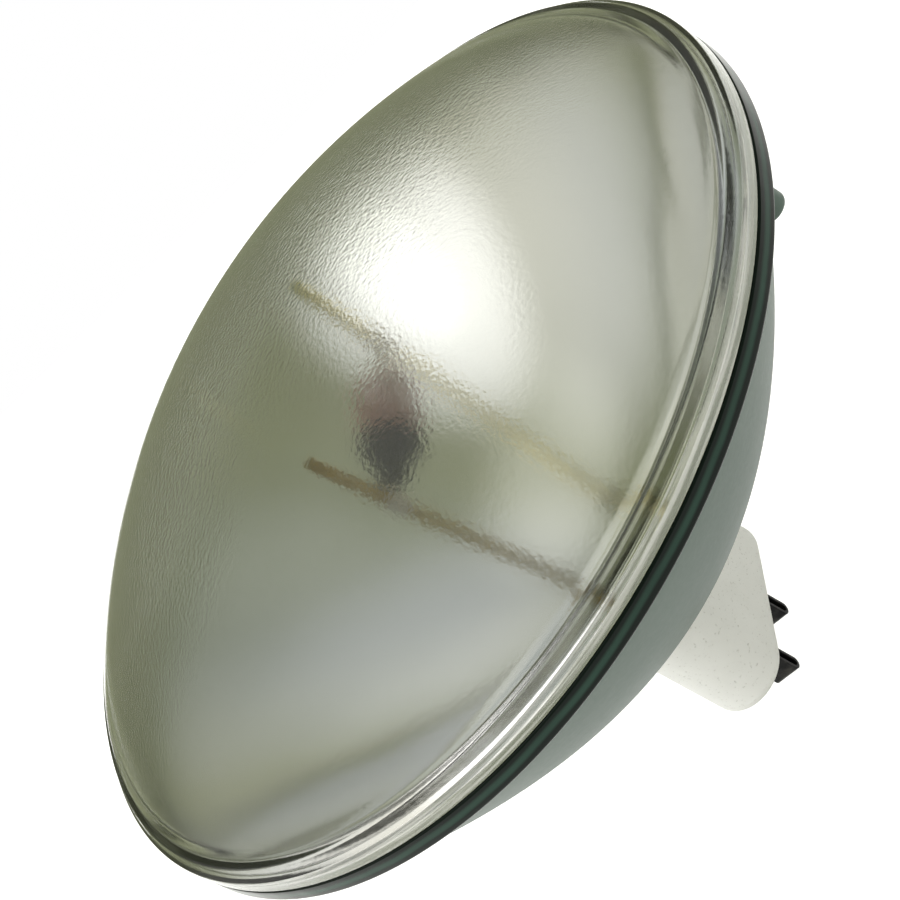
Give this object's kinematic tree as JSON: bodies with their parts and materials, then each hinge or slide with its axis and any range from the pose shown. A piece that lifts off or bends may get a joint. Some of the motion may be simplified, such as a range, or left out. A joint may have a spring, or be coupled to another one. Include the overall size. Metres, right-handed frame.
{
  "type": "sealed beam spotlight lamp",
  "caption": "Sealed glass reflector lamp with a domed stippled lens, an inner halogen capsule on two rods and a long ceramic two-prong base.",
  "frame": {"origin": "centre of the rear seating plane of the glass rim, on the optical axis", "axes": "+Z along the optical axis towards the lens, +X from one contact prong to the other, +Y across the slot-shaped base"},
  "size_m": [0.2032, 0.2032, 0.1509],
  "materials": {
    "lens_glass": "clear borosilicate glass with a fine stippled skin",
    "bowl_glass": "pressed glass, grey-green from behind because of the mirror film inside",
    "ceramic": "fired off-white ceramic, matt",
    "cement": "dry lamp cement",
    "prong_metal": "darkened plated brass strip",
    "ferrule_metal": "drawn nickel-iron cup",
    "rod_metal": "plated round rod, brass yellow",
    "clip_metal": "heat-tinted nickel strap",
    "quartz": "fused quartz",
    "foil_metal": "thin molybdenum foil",
    "lead_metal": "grey drawn wire",
    "tungsten": "tungsten wire",
    "copper_wire": "bare copper wire"
  },
  "bodies": {
    "root": {"front_lens": "lens_glass", "reflector_bowl": "bowl_glass", "ferrule_left": "ferrule_metal", "ferrule_right": "ferrule_metal", "support_rod_left": "rod_metal", "support_rod_right": "rod_metal", "rod_clip_left": "clip_metal", "rod_clip_right": "clip_metal", "inner_lead_left": "tungsten", "inner_lead_right": "tungsten", "seal_foil_left": "foil_metal", "seal_foil_right": "foil_metal", "outer_lead_left": "lead_metal", "outer_lead_right": "lead_metal", "filament_coil": "tungsten", "capsule_envelope": "quartz", "base_shell": "ceramic", "base_cement": "cement", "contact_prong_left": "prong_metal", "contact_prong_right": "prong_metal", "inner_wire_left": "copper_wire", "inner_wire_right": "copper_wire"}
  },
  "joints": []
}
